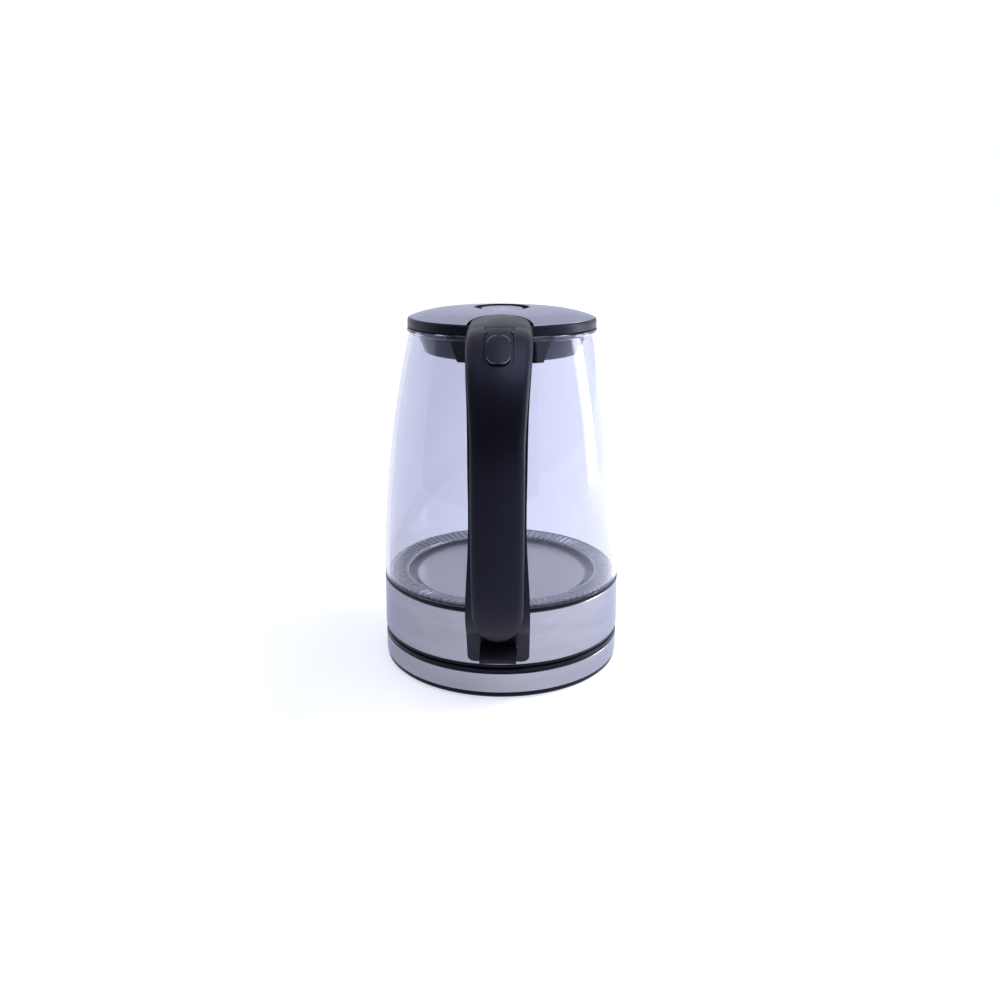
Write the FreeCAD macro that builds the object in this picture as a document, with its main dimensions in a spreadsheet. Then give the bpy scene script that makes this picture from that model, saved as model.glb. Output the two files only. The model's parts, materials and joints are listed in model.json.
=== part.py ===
import FreeCAD, Part
import math
import os
import Sketcher
from FreeCAD import Placement, Rotation, Vector

# Glass-walled electric kettle on its power base, in millimetres.
# Origin: on the kettle's axis, in the plane the feet stand on. +Z up, handle towards -Y,
# spout towards +Y, symmetric about X = 0.

os.makedirs("parts", exist_ok=True)
doc = FreeCAD.newDocument("electric_kettle")

# ---------------------------------------------------------------- driving dimensions

SIZES = [
    ("gap", 0.3, "clearance between neighbours that move past each other"),
    ("fit", 0.05, "radial clearance of a running fit"),
    # power base
    ("pan_radius", 76.3, "outer radius of the base's black bottom edge"),
    ("foot_height", 1.0, "how far the rubber feet stand out below the pan"),
    ("trim_radius", 76.85, "outer radius of the base's steel trim"),
    ("trim_bottom", 4.8, "lower edge of the steel trim"),
    ("trim_top", 17.2, "upper edge of the steel trim"),
    ("trim_wall", 0.7, "sheet thickness of the trim and of the kettle's steel band"),
    ("base_top", 20.0, "top face of the power base"),
    ("plug_radius", 13.0, "radius of the base's round connector"),
    ("plug_top", 30.0, "top of the base's round connector"),
    # kettle bottom
    ("cover_bottom", 21.0, "underside of the kettle's bottom cover"),
    ("band_bottom", 23.4, "lower edge of the kettle's steel band"),
    ("band_top", 56.1, "upper edge of the kettle's steel band"),
    ("band_radius", 77.0, "outer radius of the steel band at its lower edge"),
    ("band_radius_top", 76.5, "outer radius of the steel band at its upper edge"),
    ("chassis_radius", 75.6, "outer radius of the inner chassis"),
    ("shelf", 53.6, "shelf of the chassis that carries the light ring"),
    ("gasket_top", 59.0, "top of the gasket under the glass"),
    ("plate_top", 55.0, "flat middle of the heating plate"),
    ("plate_radius", 54.9, "radius of the flat middle of the heating plate"),
    ("plate_rim", 60.6, "outer radius of the heating plate"),
    ("plate_sheet", 0.8, "sheet thickness of the heating plate"),
    # glass
    ("glass_radius", 76.7, "outer radius of the glass at its foot"),
    ("glass_neck", 57.2, "outer radius of the glass below its lip"),
    ("glass_bow", 730.0, "radius of the arc of the glass wall's side"),
    ("glass_wall", 2.8, "wall thickness of the glass"),
    ("glass_top", 215.5, "top of the glass lip"),
    ("lip_radius", 58.8, "outer radius of the glass lip"),
    ("spout_tip", 9.0, "outer radius of the spout's nose"),
    ("spout_reach", 69.0, "distance of the nose's centre from the kettle's axis"),
    ("spout_start", 165.0, "height where the spout leaves the wall"),
    # lid
    ("lid_bottom", 215.9, "underside of the lid's rim"),
    ("lid_radius", 58.25, "outer radius of the lid's rim"),
    ("cap_radius", 56.9, "outer radius of the lid's steel cap"),
    ("cap_edge", 221.9, "height of the steel cap's outer edge"),
    ("cap_top", 228.0, "height of the steel cap's middle"),
    ("cap_sheet", 0.6, "sheet thickness of the steel cap"),
    ("notch_radius", 19.3, "radius of the round notch in the cap, around the hinge tab"),
    ("notch_y", -56.8, "centre of that notch"),
    ("recess_x", 17.1, "half width of the oval recess"),
    ("recess_y", 21.5, "half length of the oval recess"),
    ("recess_shift", -2.5, "centre of the oval recess"),
    ("recess_ring", 4.3, "width of the black ring around the recess's steel plate"),
    ("insert_top", 226.85, "top of the steel plate in the recess"),
    ("bowl_radius", 51.9, "outer radius of the lid's inner bowl at its top"),
    ("bowl_bottom", 200.0, "underside of the lid's inner bowl"),
    ("hinge_y", -70.0, "lid hinge axis"),
    ("hinge_z", 219.0, "lid hinge axis"),
    ("barrel", 2.8, "radius of the lid's hinge barrel"),
    ("hinge_pin_radius", 1.0, "radius of the hinge pin"),
    ("barrel_half", 8.0, "half length of the hinge barrel"),
    # handle
    ("hub_half", 18.3, "half width of the handle at its top and at its foot"),
    ("grip_half", 15.8, "half width of the handle's inner shell along the grip"),
    ("cover_half", 14.6, "half width of the soft cover along the grip"),
    ("cover_deep", 6.0, "depth of the soft cover"),
    ("cover_crown", 3.6, "drop of the soft cover from its middle to its sides"),
    ("block_bottom", 26.0, "lower end of the handle's foot on the steel band"),
    ("button_half", 6.45, "half width of the release button's raised face"),
    ("button_length", 28.0, "length of the release button's raised face"),
    ("button_raise", 0.9, "height of the raised face above the handle"),
    ("switch_half", 10.6, "half width of the power switch paddle"),
    ("switch_y", -82.0, "power switch pivot"),
    ("switch_z", 38.5, "power switch pivot"),
    ("switch_pin_radius", 1.0, "radius of the power switch's pivot pin"),
]

sheet = doc.addObject("Spreadsheet::Sheet", "dims")
for row, (alias, number, note) in enumerate(SIZES, start=1):
    sheet.set("A%d" % row, alias)
    sheet.set("B%d" % row, str(number))
    sheet.set("C%d" % row, note)
    sheet.setAlias("B%d" % row, alias)
doc.recompute()


class Size:
    """A number together with the sheet expression that gives it."""

    def __init__(self, value, text):
        self.value = value
        self.text = text

    def __add__(self, other):
        return Size(self.value + plain(other), "(%s + %s)" % (self.text, wording(other)))

    __radd__ = __add__

    def __sub__(self, other):
        return Size(self.value - plain(other), "(%s - %s)" % (self.text, wording(other)))

    def __rsub__(self, other):
        return Size(plain(other) - self.value, "(%s - %s)" % (wording(other), self.text))

    def __mul__(self, other):
        return Size(self.value * plain(other), "(%s * %s)" % (self.text, wording(other)))

    __rmul__ = __mul__

    def __truediv__(self, other):
        return Size(self.value / plain(other), "(%s / %s)" % (self.text, wording(other)))

    def __neg__(self):
        return Size(-self.value, "(0 - %s)" % self.text)


def plain(thing):
    return thing.value if isinstance(thing, Size) else float(thing)


def wording(thing):
    return thing.text if isinstance(thing, Size) else repr(float(thing))


class Dims:
    """The sheet's cells, as attributes."""

    def __init__(self, rows):
        for name, number, _ in rows:
            setattr(self, name, Size(float(number), "dims.%s" % name))


d = Dims(SIZES)
nodes = {}


def bind(thing, prop, value):
    """Give a property its value, through the sheet where the value has an expression."""
    if isinstance(value, Size):
        thing.setExpression(prop, value.text)
    else:
        setattr(thing, prop, float(value))


def place(thing, at, turn=None):
    """Put a primitive's own origin at a point, after turning it."""
    thing.Placement = Placement(Vector(*[plain(c) for c in at]), turn or Rotation())
    for letter, value in zip("xyz", at):
        if isinstance(value, Size):
            thing.setExpression("Placement.Base.%s" % letter, value.text)


def node(name, thing):
    """Register a finished piece; its Label is the node's name."""
    thing.Label = name
    nodes[name] = thing
    return thing


# ---------------------------------------------------------------- sketches and bodies

ORIGIN_PLANES = {"XZ": "XZ_Plane", "YZ": "YZ_Plane", "XY": "XY_Plane"}


def origin_plane(body, plane):
    for feature in body.Origin.OriginFeatures:
        if feature.Role == ORIGIN_PLANES[plane]:
            return feature


def arc_centre(start, end, radius):
    """Centre of the arc from start to end; a positive radius turns left."""
    half = (end - start) * 0.5
    rise = math.sqrt(max(radius * radius - half.Length ** 2, 0.0))
    left = Vector(-half.y, half.x, 0).normalize()
    return start + half + left * (rise if radius > 0 else -rise)


def outline(sketch, corners):
    """Draw a closed outline. A corner is (x, y), or (x, y, radius) where an arc leads on from it."""
    count = len(corners)
    spots = [Vector(plain(c[0]), plain(c[1]), 0) for c in corners]
    first_end = []
    for i, corner in enumerate(corners):
        start, end = spots[i], spots[(i + 1) % count]
        if len(corner) == 2:
            sketch.addGeometry(Part.LineSegment(start, end), False)
            first_end.append((1, 2))
            continue
        radius = plain(corner[2])
        centre = arc_centre(start, end, radius)
        low, high = (start, end) if radius > 0 else (end, start)
        circle = Part.Circle(centre, Vector(0, 0, 1), abs(radius))
        angles = [math.atan2(p.y - centre.y, p.x - centre.x) for p in (low, high)]
        if angles[1] < angles[0]:
            angles[1] += 2 * math.pi
        sketch.addGeometry(Part.ArcOfCircle(circle, *angles), False)
        first_end.append((1, 2) if radius > 0 else (2, 1))
    for i in range(count):
        after = (i + 1) % count
        sketch.addConstraint(
            Sketcher.Constraint("Coincident", i, first_end[i][1], after, first_end[after][0])
        )
    for i, corner in enumerate(corners):
        for kind, axis, value in (("DistanceX", -2, corner[0]), ("DistanceY", -1, corner[1])):
            if abs(plain(value)) < 1e-9:
                sketch.addConstraint(Sketcher.Constraint("PointOnObject", i, first_end[i][0], axis))
                continue
            made = sketch.addConstraint(
                Sketcher.Constraint(kind, i, first_end[i][0], plain(value))
            )
            if isinstance(value, Size):
                name = "%s%d" % (kind, i)
                sketch.renameConstraint(made, name)
                sketch.setExpression("Constraints.%s" % name, value.text)
        if len(corner) == 3:
            radius = corner[2] if plain(corner[2]) > 0 else -1 * corner[2]
            made = sketch.addConstraint(Sketcher.Constraint("Radius", i, plain(radius)))
            if isinstance(radius, Size):
                name = "Bow%d" % i
                sketch.renameConstraint(made, name)
                sketch.setExpression("Constraints.%s" % name, radius.text)


def sketched(name, plane, corners):
    body = doc.addObject("PartDesign::Body", name + "_body")
    sketch = body.newObject("Sketcher::SketchObject", name + "_outline")
    sketch.AttachmentSupport = (origin_plane(body, plane), [""])
    sketch.MapMode = "FlatFace"
    outline(sketch, corners)
    return body, sketch


def turned(name, corners):
    """A piece turned about the Z axis from its outline of (radius, height) corners."""
    body, sketch = sketched(name, "XZ", corners)
    feature = body.newObject("PartDesign::Revolution", name + "_turn")
    feature.Profile = sketch
    feature.ReferenceAxis = (sketch, ["V_Axis"])
    feature.Angle = 360.0
    sketch.Visibility = False
    return body


def padded(name, plane, corners, thickness, shift=0.0):
    """A piece of even thickness, centred on its sketch's plane unless it is shifted."""
    body, sketch = sketched(name, plane, corners)
    feature = body.newObject("PartDesign::Pad", name + "_pad")
    feature.Profile = sketch
    feature.Midplane = True
    bind(feature, "Length", thickness)
    normal = {"XZ": Vector(0, -1, 0), "YZ": Vector(1, 0, 0), "XY": Vector(0, 0, 1)}[plane]
    body.Placement = Placement(normal * plain(shift), Rotation())
    return body


# ---------------------------------------------------------------- primitives and booleans

def block(name, low, high):
    """A box between two corners."""
    made = doc.addObject("Part::Box", name)
    for prop, a, b in zip(("Length", "Width", "Height"), low, high):
        bind(made, prop, b - a)
    place(made, low)
    return made


TURNS = {
    "z": Rotation(),
    "x": Rotation(Vector(0, 1, 0), 90),
    "y": Rotation(Vector(1, 0, 0), -90),
}


def rod(name, radius, length, at, axis="z"):
    """A round bar that starts at a point and runs along an axis."""
    made = doc.addObject("Part::Cylinder", name)
    bind(made, "Radius", radius)
    bind(made, "Height", length)
    place(made, at, TURNS[axis])
    return made


def fused(name, *pieces):
    made = doc.addObject("Part::MultiFuse", name)
    made.Shapes = list(pieces)
    return made


def cut(name, base, *tools):
    """A piece with one or more tools taken out of it."""
    made = doc.addObject("Part::Cut", name)
    made.Base = base
    made.Tool = tools[0] if len(tools) == 1 else fused(name + "_tools", *tools)
    return made


def group(name, pieces):
    """Separate solids that share one node."""
    made = doc.addObject("Part::Compound", name)
    made.Links = list(pieces)
    return made


def shaped(name, shape):
    """A piece whose free form is worked out with Part's own functions."""
    made = doc.addObject("Part::Feature", name)
    made.Shape = shape
    return made


def around(radius, degrees):
    """A point on a circle about the Z axis."""
    angle = math.radians(degrees)
    return radius * math.cos(angle), radius * math.sin(angle)


def screw(name, head, shank, head_height, length, at, up=1):
    """A pan-head screw with its head's outer face at a point and its shank running up or down."""
    head_part = rod(name + "_head", head, head_height, at if up > 0 else shifted(at, -head_height))
    shank_at = shifted(at, head_height if up > 0 else -head_height - length)
    shank_part = rod(name + "_shank", shank, length, shank_at)
    return fused(name, head_part, shank_part)


def shifted(at, rise):
    return at[0], at[1], at[2] + rise


# ---------------------------------------------------------------- power base

SCREW_RING = 55.0
SCREW_ANGLES = (30, 150, 270)
FOOT_RING = 62.0
FOOT_RADIUS = 6.0
FOOT_SUNK = 0.8
FOOT_ANGLES = (45, 135, 225, 315)
CORD_Z = 10.5
CORD_RADIUS = 3.5
PAN_WALL = 2.5
PAN_FLOOR = d.foot_height + 2.4


def power_base():
    trim_inner = d.trim_radius - d.trim_wall
    wall_outer = trim_inner - d.fit
    wall_inner = wall_outer - PAN_WALL
    pan = turned("pan", [
        (0, d.foot_height),
        (d.pan_radius - 1.2, d.foot_height),
        (d.pan_radius, d.foot_height + 1.2),
        (d.pan_radius, d.trim_bottom),
        (wall_outer, d.trim_bottom),
        (wall_outer, d.trim_top - 0.1),
        (wall_inner, d.trim_top - 0.1),
        (wall_inner, PAN_FLOOR),
        (0, PAN_FLOOR),
    ])
    recesses = []
    feet = []
    spots = [around(FOOT_RING, angle) for angle in FOOT_ANGLES] + [(0, 0)]
    for i, (x, y) in enumerate(spots):
        recesses.append(rod("foot_recess%d" % i, FOOT_RADIUS + 0.05, FOOT_SUNK, (x, y, d.foot_height)))
        feet.append(rod("foot%d" % i, FOOT_RADIUS, d.foot_height + FOOT_SUNK, (x, y, 0)))
    screws = []
    bosses = []
    for i, angle in enumerate(SCREW_ANGLES):
        x, y = around(SCREW_RING, angle)
        recesses.append(rod("screw_hole%d" % i, 1.8, 4.0, (x, y, d.foot_height - 0.5)))
        recesses.append(rod("screw_sink%d" % i, 3.4, 1.65, (x, y, d.foot_height)))
        head_at = (x, y, d.foot_height)
        screws.append(screw("base_screw%d" % i, 3.1, 1.5, 1.6, 9.0, head_at))
        boss = rod("boss%d" % i, 4.0, d.base_top - 1.5 - PAN_FLOOR - 0.05, (x, y, PAN_FLOOR + 0.05))
        pilot = rod("pilot%d" % i, 1.55, 10.0, (x, y, PAN_FLOOR))
        bosses.append((boss, pilot))
    cord_hole = rod("cord_hole", 5.1, 14.0, (0, 68.0, CORD_Z), "y")
    node("base_pan", cut("base_pan_cut", pan, *recesses, cord_hole))
    node("base_feet", group("feet", feet))
    node("base_screws", group("base_screw_set", screws))

    trim = turned("trim", [
        (trim_inner, d.trim_bottom),
        (d.trim_radius - 0.15, d.trim_bottom),
        (d.trim_radius, d.trim_bottom + 0.3),
        (d.trim_radius, d.trim_top - 0.3),
        (d.trim_radius - 0.15, d.trim_top),
        (trim_inner, d.trim_top),
    ])
    trim_hole = rod("trim_hole", 5.1, 14.0, (0, 68.0, CORD_Z), "y")
    node("base_steel_trim", cut("base_trim_cut", trim, trim_hole))

    plate = turned("top_plate", [
        (d.plug_radius + d.fit, d.base_top - 2.4),
        (wall_inner - 1.6, d.base_top - 2.4),
        (wall_inner - 1.6, d.trim_top - 3.0),
        (wall_inner - 0.1, d.trim_top - 3.0),
        (wall_inner - 0.1, d.trim_top),
        (d.trim_radius - 0.6, d.trim_top),
        (d.trim_radius - 0.35, d.trim_top + 0.3),
        (d.trim_radius - 0.35, d.base_top - 0.5),
        (d.trim_radius - 0.85, d.base_top),
        (d.plug_radius + d.fit, d.base_top),
    ])
    top = fused("top_with_bosses", plate, *[boss for boss, _ in bosses])
    cord_room = block("cord_room", (-7.5, 66.0, CORD_Z), (7.5, 74.0, CORD_Z + 6.6))
    pilots = [pilot for _, pilot in bosses]
    node("base_top_cover", cut("base_top_cut", top, cord_room, *pilots))

    floor = PAN_FLOOR
    node("base_connector", turned("connector", [
        (0, floor),
        (20, floor),
        (20, floor + 2.0),
        (d.plug_radius, floor + 2.0),
        (d.plug_radius, d.plug_top - 0.8),
        (d.plug_radius - 0.8, d.plug_top),
        (10.6, d.plug_top),
        (10.6, 16),
        (8.4, 16),
        (8.4, d.plug_top),
        (6.6, d.plug_top),
        (6.6, 16),
        (4.4, 16),
        (4.4, d.plug_top),
        (2.6, d.plug_top),
        (2.6, 14),
        (0, 14),
    ]))
    springs = []
    for name, inner, outer, foot in (("line", 8.45, 8.85, 16), ("neutral", 4.45, 4.85, 16),
                                     ("earth", 2.05, 2.5, 14)):
        sleeve = turned(name + "_spring", [
            (inner, foot), (outer, foot), (outer, d.plug_top - 3.0), (inner, d.plug_top - 3.0),
        ])
        springs.append(sleeve)
    node("base_contacts", group("base_contact_set", springs))

    gland_tube = rod("gland_tube", 5.0, 9.5, (0, 69.0, CORD_Z), "y")
    gland_flange = rod("gland_flange", 6.2, 1.6, (0, 71.0, CORD_Z), "y")
    gland_bore = rod("gland_bore", CORD_RADIUS, 14.0, (0, 67.0, CORD_Z), "y")
    node("cord_gland", cut("gland", fused("gland_solid", gland_tube, gland_flange), gland_bore))


# ---------------------------------------------------------------- kettle bottom

HANDLE_WINDOW = d.hub_half + 0.15
BAND_CORNER = 5.0
LED_ANGLES = (30, 90, 150, 210, 330)
LED_RING = 67.5


def kettle_bottom():
    cover = turned("bottom_cover", [
        (17.5, d.cover_bottom),
        (66, d.cover_bottom),
        (66, d.base_top + 0.05),
        (70, d.base_top + 0.05),
        (70, d.cover_bottom),
        (76.0, d.cover_bottom),
        (76.4, d.cover_bottom + 0.4),
        (76.4, d.band_bottom - 0.05),
        (19.5, d.band_bottom - 0.05),
        (19.5, 27.0),
        (17.5, 27.0),
    ])
    holes = []
    screws = []
    for i, angle in enumerate(SCREW_ANGLES):
        x, y = around(SCREW_RING, angle)
        holes.append(rod("cover_hole%d" % i, 1.8, 4.0, (x, y, d.cover_bottom - 0.5)))
        holes.append(rod("cover_sink%d" % i, 3.3, 1.4, (x, y, d.cover_bottom)))
        head_at = (x, y, d.cover_bottom)
        screws.append(screw("kettle_screw%d" % i, 3.0, 1.5, 1.3, 9.0, head_at))
    node("bottom_cover", cut("bottom_cover_cut", cover, *holes))
    node("kettle_screws", group("kettle_screw_set", screws))

    inner_bottom = d.band_radius - d.trim_wall
    inner_top = d.band_radius_top - d.trim_wall
    band = turned("band", [
        (inner_bottom, d.band_bottom),
        (d.band_radius - 0.2, d.band_bottom),
        (d.band_radius, d.band_bottom + 0.4),
        (d.band_radius_top, d.band_top - 0.5),
        (d.band_radius_top - 0.4, d.band_top),
        (74.6, d.band_top),
        (74.6, d.band_top - d.trim_wall),
        (inner_top, d.band_top - d.trim_wall),
    ])
    window = padded("band_window", "XZ", [
        (-HANDLE_WINDOW + BAND_CORNER, d.block_bottom - 0.15),
        (HANDLE_WINDOW - BAND_CORNER, d.block_bottom - 0.15, BAND_CORNER),
        (HANDLE_WINDOW, d.block_bottom - 0.15 + BAND_CORNER),
        (HANDLE_WINDOW, d.band_top + 4),
        (-HANDLE_WINDOW, d.band_top + 4),
        (-HANDLE_WINDOW, d.block_bottom - 0.15 + BAND_CORNER, BAND_CORNER),
    ], 30.0, 75.0)
    node("steel_band", cut("steel_band_cut", band, window))

    chassis = turned("chassis", [
        (d.chassis_radius - 2.2, d.band_bottom),
        (d.chassis_radius, d.band_bottom),
        (d.chassis_radius - 0.3, d.band_top - d.trim_wall - 0.1),
        (73.6, d.band_top - d.trim_wall - 0.1),
        (73.6, d.shelf),
        (62.0, d.shelf),
        (62.0, d.shelf - 2.5),
        (d.chassis_radius - 2.2, d.shelf - 2.5),
    ])
    openings = [block("link_window", (-12.5, -80.0, 30.0), (12.5, -70.0, 50.9))]
    for i, angle in enumerate(LED_ANGLES):
        x, y = around(LED_RING, angle)
        openings.append(rod("led_hole%d" % i, 2.7, 4.0, (x, y, d.shelf - 3.0)))
    for i, x in enumerate(FOOT_SCREWS_X):
        openings.append(rod("foot_screw_hole%d" % i, 1.7, 12.0, (x, -80.0, FOOT_SCREW_Z), "y"))
    node("body_chassis", cut("chassis_cut", chassis, *openings))

    node("gasket_ring", turned("gasket", [
        (73.7, d.band_top),
        (d.band_radius_top - 0.2, d.band_top),
        (d.glass_radius - 0.05, d.band_top + 0.4),
        (d.glass_radius - 0.05, d.gasket_top - 0.3),
        (d.glass_radius - 0.3, d.gasket_top),
        (73.7, d.gasket_top),
    ]))

    node("light_ring", turned("light", [
        (61.0, d.shelf + 0.05),
        (73.4, d.shelf + 0.05),
        (73.4, d.gasket_top - 0.4),
        (72.2, d.gasket_top + 1.2),
        (70.6, d.gasket_top + 0.9),
        (63.0, d.gasket_top - 0.1),
        (61.6, d.gasket_top - 0.1),
        (61.0, d.gasket_top - 0.8),
    ]))

    slope = 2.5
    node("heating_plate", turned("plate", [
        (0, d.plate_top - d.plate_sheet),
        (d.plate_radius + 0.2, d.plate_top - d.plate_sheet),
        (d.plate_rim, d.plate_top + slope - d.plate_sheet - 0.1),
        (d.plate_rim, d.plate_top + slope),
        (d.plate_rim - 0.3, d.plate_top + slope),
        (d.plate_radius, d.plate_top),
        (0, d.plate_top),
    ]))
    node("plate_seal", turned("seal", [
        (56.6, d.shelf + 0.1),
        (d.plate_rim, d.shelf + 0.1),
        (d.plate_rim, d.plate_top + slope - d.plate_sheet - 0.2),
        (56.6, d.plate_top - 0.3),
    ]))
    node("plate_clamp_ring", turned("clamp_ring", [
        (53.0, 51.2), (61.8, 51.2), (61.8, d.shelf + 0.05), (53.0, d.shelf + 0.05),
    ]))
    node("heat_spreader", turned("spreader", [
        (0, 51.15), (50.0, 51.15), (50.0, d.plate_top - d.plate_sheet - 0.05),
        (0, d.plate_top - d.plate_sheet - 0.05),
    ]))
    heating_element()
    controls()


def heating_element():
    loop = doc.addObject("Part::Torus", "element_loop")
    loop.Radius1 = 38.0
    loop.Radius2 = 3.3
    loop.Angle3 = 290.0
    loop.Placement = Placement(Vector(0, 0, 47.8), Rotation(Vector(0, 0, 1), -55))
    stubs = []
    for i, angle in enumerate((-55, 235)):
        x, y = around(38.0, angle)
        stubs.append(rod("cold_pin%d" % i, 1.6, 9.0, (x, y, 39.5)))
    node("heating_element", fused("element", loop, *stubs))


def controls():
    """The control under the plate, its round socket, the steam switch and the light."""
    body = rod("control_body", 24.0, 11.0, (0, 0, 33.05))
    lug = block("control_lug", (-30, -6, 36), (30, 6, 40))
    channel = block("control_channel", (-3.6, -26.0, 40.0), (3.6, -18.0, 46.0))
    node("thermostat_control", cut("control", fused("control_solid", body, lug), channel))
    node("kettle_connector", turned("socket", [
        (13.4, 22.0), (17.2, 22.0), (17.2, 33.0), (0, 33.0), (0, 31.0), (13.4, 31.0),
    ]))
    pins = [rod("earth_pin", 1.5, 9.5, (0, 0, 21.5))]
    for name, inner, outer in (("neutral", 5.3, 6.2), ("line", 9.3, 10.2)):
        pins.append(turned(name + "_ring", [
            (inner, 21.5), (outer, 21.5), (outer, 31.0), (inner, 31.0),
        ]))
    node("kettle_contacts", group("kettle_contact_set", pins))
    node("steam_switch", block("steam_switch_box", (5.0, -66.0, 29.0), (25.0, -58.0, 45.0)))
    node("bimetal_disc", rod("bimetal", 6.5, 0.6, (15.0, -66.65, 37.0), "y"))
    boards = []
    lights = []
    for i, angle in enumerate(LED_ANGLES):
        x, y = around(LED_RING, angle)
        boards.append(rod("board%d" % i, 4.5, 1.0, (x, y, d.shelf - 4.6)))
        lights.append(rod("light%d" % i, 2.4, 2.6, (x, y, d.shelf - 3.6)))
    node("led_boards", group("board_set", boards))
    node("leds", group("led_set", lights))


# ---------------------------------------------------------------- glass jug

def nose(reach, tip, base, height):
    """A drop-shaped section of the spout: two walls tangent to the jug and a round nose."""
    lean = math.acos((base - tip) / reach)
    jug = Vector(base * math.sin(lean), base * math.cos(lean), height)
    tangent = Vector(tip * math.sin(lean), reach + tip * math.cos(lean), height)
    left_jug = Vector(-jug.x, jug.y, height)
    left_tangent = Vector(-tangent.x, tangent.y, height)
    arc = Part.Arc(tangent, Vector(0, reach + tip, height), left_tangent)
    return Part.Wire([
        Part.LineSegment(jug, tangent).toShape(),
        arc.toShape(),
        Part.LineSegment(left_tangent, left_jug).toShape(),
        Part.LineSegment(left_jug, Vector(0, 0, height)).toShape(),
        Part.LineSegment(Vector(0, 0, height), jug).toShape(),
    ])


def glass_jug():
    top = d.glass_top
    outer = turned("jug_outer", [
        (0, d.gasket_top),
        (d.glass_radius, d.gasket_top, d.glass_bow),
        (d.glass_neck, top - 3.2),
        (d.lip_radius, top - 1.6),
        (d.lip_radius, top - 0.5),
        (d.lip_radius - 0.5, top),
        (0, top),
    ])
    wall = d.glass_wall
    inner = turned("jug_inner", [
        (0, d.gasket_top - 1),
        (d.glass_radius - wall, d.gasket_top - 1, d.glass_bow - wall),
        (d.glass_neck - wall, top - 3.2),
        (d.glass_neck - wall + 0.3, top + 1),
        (0, top + 1),
    ])
    reach = d.spout_reach.value
    tip = d.spout_tip.value
    low = d.spout_start.value
    high = top.value
    foot_reach = 56.0
    walls = []
    for name, less, extra in (("spout_outer", 0.0, 0.0), ("spout_inner", wall.value, 1.0)):
        rise = (reach - foot_reach) / (high - low)
        upper = nose(reach + rise * extra, tip - less, d.glass_neck.value - 0.4 - less, high + extra)
        lower = nose(foot_reach, tip - less, d.glass_neck.value - 10.0 - less, low)
        walls.append(shaped(name, Part.makeLoft([lower, upper], True, True)))
    solid = fused("jug_solid", outer, walls[0])
    hollow = fused("jug_hollow", inner, walls[1])
    node("glass_jug", cut("jug", solid, hollow))


# ---------------------------------------------------------------- handle

# Middle line of the handle's outer face, (y, z), from the lid's crease down to the tongue.
SPINE = [
    (-65.6, 223.2),
    (-72.5, 222.1),
    (-80.0, 219.6),
    (-90.0, 213.2),
    (-101.0, 203.0),
    (-110.0, 189.0),
    (-116.5, 171.0),
    (-119.0, 148.0),
    (-118.0, 110.0),
    (-114.5, 80.0),
    (-108.0, 61.0),
    (-96.0, 45.0),
]
# Inner face of the handle, (y, z), from the glass at the top down to the glass at the bottom.
INNER_FACE = [
    (-60.0, 196.0),
    (-76.0, 194.5),
    (-88.0, 187.0),
    (-96.0, 172.0),
    (-98.5, 148.0),
    (-97.5, 110.0),
    (-94.5, 86.0),
    (-87.0, 71.0),
    (-77.2, 63.5),
]


def spline(points):
    curve = Part.BSplineCurve()
    curve.interpolate([Vector(0, y, z) for y, z in points])
    return curve


def spine_frame(curve, fraction):
    """A point of the spine, its direction and the outward normal."""
    first, last = curve.FirstParameter, curve.LastParameter
    at = first + (last - first) * fraction
    along = curve.tangent(at)[0]
    outward = Vector(0, along.z, -along.y)
    return curve.value(at), along, outward


def fraction_at(curve, y):
    """The fraction along the spine, on its upper half, where it reaches a given y."""
    low, high = 0.0, 0.5
    for _ in range(40):
        middle = (low + high) / 2
        if spine_frame(curve, middle)[0].y > y:
            low = middle
        else:
            high = middle
    return low


def cover_half_at(fraction):
    """Half width of the cover: full at the hub, narrower along the grip."""
    wide, slim = d.hub_half.value, d.cover_half.value
    blend = min(max((fraction - 0.06) / 0.36, 0.0), 1.0)
    blend = blend * blend * (3 - 2 * blend)
    return wide + (slim - wide) * blend


def crowned_section(spot, outward, half, proud, deep, crown):
    """A section of the cover: flat back, upright sides and a crowned face with round edges."""
    def at(x, n):
        return spot + Vector(x, 0, 0) + outward * n
    side = proud - crown - 0.9
    face = Part.BSplineCurve()
    face.interpolate([
        at(-half, side),
        at(-half + 0.9, proud - crown + 0.5),
        at(-half * 0.55, proud - crown * 0.24),
        at(0, proud),
        at(half * 0.55, proud - crown * 0.24),
        at(half - 0.9, proud - crown + 0.5),
        at(half, side),
    ])
    back_left, back_right = at(-half, -deep), at(half, -deep)
    return Part.Wire([
        face.toShape(),
        Part.LineSegment(at(half, side), back_right).toShape(),
        Part.LineSegment(back_right, back_left).toShape(),
        Part.LineSegment(back_left, at(-half, side)).toShape(),
    ])


OUTLINE_STEPS = 20


def cover_loft(curve, proud=0.0, deep=None):
    """The cover's form, or the same form raised or lowered by a set amount."""
    deep = d.cover_deep.value if deep is None else deep
    sections = []
    for i in range(OUTLINE_STEPS + 1):
        fraction = i / OUTLINE_STEPS
        spot, _, outward = spine_frame(curve, fraction)
        half = cover_half_at(fraction)
        sections.append(crowned_section(spot, outward, half, proud, deep, d.cover_crown.value))
    return Part.makeLoft(sections, True, False)


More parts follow.
